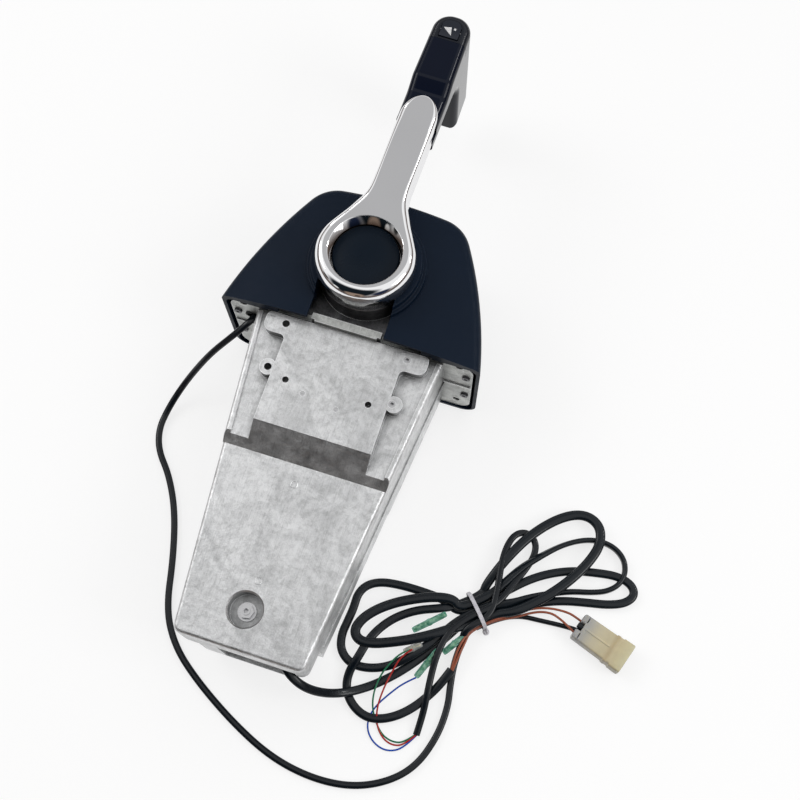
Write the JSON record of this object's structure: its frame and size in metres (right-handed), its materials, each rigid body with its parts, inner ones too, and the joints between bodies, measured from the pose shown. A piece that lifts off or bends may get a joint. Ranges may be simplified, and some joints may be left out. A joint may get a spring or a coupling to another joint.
{
  "type": "boat throttle control lever",
  "caption": "Top-mount boat throttle and shift control: domed cover, pivoting lever with a trim switch grip, hub button, cast gear housing and coiled harness",
  "frame": {"origin": "middle of the base of the bounding box of everything but the free cords; the base is the table that the control lies on", "axes": "+X is forward, the way the lever is pushed for ahead; +Y runs from the housing's lower end to the lever's tip; +Z points away from the table, on the lever's side"},
  "size_m": [0.4305, 0.6014, 0.146],
  "materials": {
    "dome_plastic": "satin moulded, navy black",
    "deck_plate_plastic": "moulded, light grey",
    "die_cast": "raw die casting, mottled",
    "bronze": "turned",
    "steel": "zinc plated",
    "dark_steel": "blackened",
    "cast_steel": "machined",
    "switch_plastic": "moulded",
    "stem_aluminium": "cast and machined",
    "lever_chrome": "mirror plated",
    "grip_plastic": "gloss moulded",
    "rocker_plastic": "matte with a printed arrow mark",
    "button_plastic": "matte moulded",
    "rubber": "soft",
    "lead_pvc": "shiny sheath",
    "wire_brown": "thin insulation",
    "tie_nylon": "translucent nylon",
    "connector_nylon": "natural nylon"
  },
  "bodies": {
    "control_box": {"arm_shaft": "steel", "arm_spacers": "steel", "base_plate": "deck_plate_plastic", "bearing_frame": "die_cast", "cable_tie": "tie_nylon", "case_screws": "steel", "connector": "connector_nylon", "connector_wires": "wire_brown", "detent_ball": "steel", "detent_plug": "steel", "detent_spring": "steel", "dome_cover": "dome_plastic", "dome_screws": "steel", "dowel_pins": "bronze", "far_bush": "bronze", "flange_screws": "steel", "frame_screws": "steel", "friction_locknut": "steel", "friction_pad": "bronze", "friction_screw": "steel", "front_housing": "die_cast", "harness_hank": "lead_pvc", "lower_stud": "steel", "main_harness": "lead_pvc", "near_bush": "bronze", "neutral_switch": "switch_plastic", "pad_plugs": "dark_steel", "rear_housing": "die_cast", "recess_nut": "steel", "trim_grommet": "rubber", "trim_lead": "lead_pvc"},
    "lever": {"lever_shaft": "steel", "shaft_keys": "steel", "shaft_clip": "steel", "shift_pinion": "steel", "throttle_pinion": "steel", "detent_disc": "steel", "shaft_spacers": "steel", "lever_stem": "stem_aluminium", "hub_bolt": "steel", "hub_washer": "steel", "lever_arm": "lever_chrome", "arm_screws": "steel", "grip_body": "grip_plastic", "grip_cap": "grip_plastic", "rocker_pin": "steel", "grip_pin": "steel", "cap_pins": "steel", "button_spring": "steel"},
    "button": {"hub_button": "button_plastic"},
    "rocker": {"trim_rocker": "rocker_plastic"},
    "shift_sector": {"shift_arm": "cast_steel"},
    "throttle_sector": {"throttle_arm": "cast_steel"}
  },
  "joints": [
    {"name": "lever_swing", "type": "hinge", "parent": "control_box", "child": "lever", "pos_m": [-0.003, 0.0445, 0.1], "axis": [0, 0, -1], "range_deg": [-75, 85]},
    {"name": "button_press", "type": "slide", "parent": "lever", "child": "button", "axis": [0, 0, -1], "range_m": [0, 0.004], "stiffness_N_per_m": 900, "springref_m": -0.002, "deforming": ["button_spring"]},
    {"name": "trim_rock", "type": "hinge", "parent": "lever", "child": "rocker", "pos_m": [0.00132, 0.25066, 0.1425], "axis": [0.9998, -0.0209, 0], "range_deg": [-8, 8], "stiffness_Nm_per_rad": 0.4},
    {"name": "shift_turn", "type": "hinge", "parent": "control_box", "child": "shift_sector", "pos_m": [-0.003, -0.0215, 0.064], "axis": [0, 0, -1], "range_deg": [-37.5, 33]},
    {"name": "throttle_turn", "type": "hinge", "parent": "control_box", "child": "throttle_sector", "pos_m": [-0.003, -0.0215, 0.034], "axis": [0, 0, -1], "range_deg": [-49, 43.5]}
  ],
  "couplings": [
    {"joint": "shift_turn", "follows": "lever_swing", "ratio": -0.43478},
    {"joint": "throttle_turn", "follows": "lever_swing", "ratio": -0.57143}
  ]
}
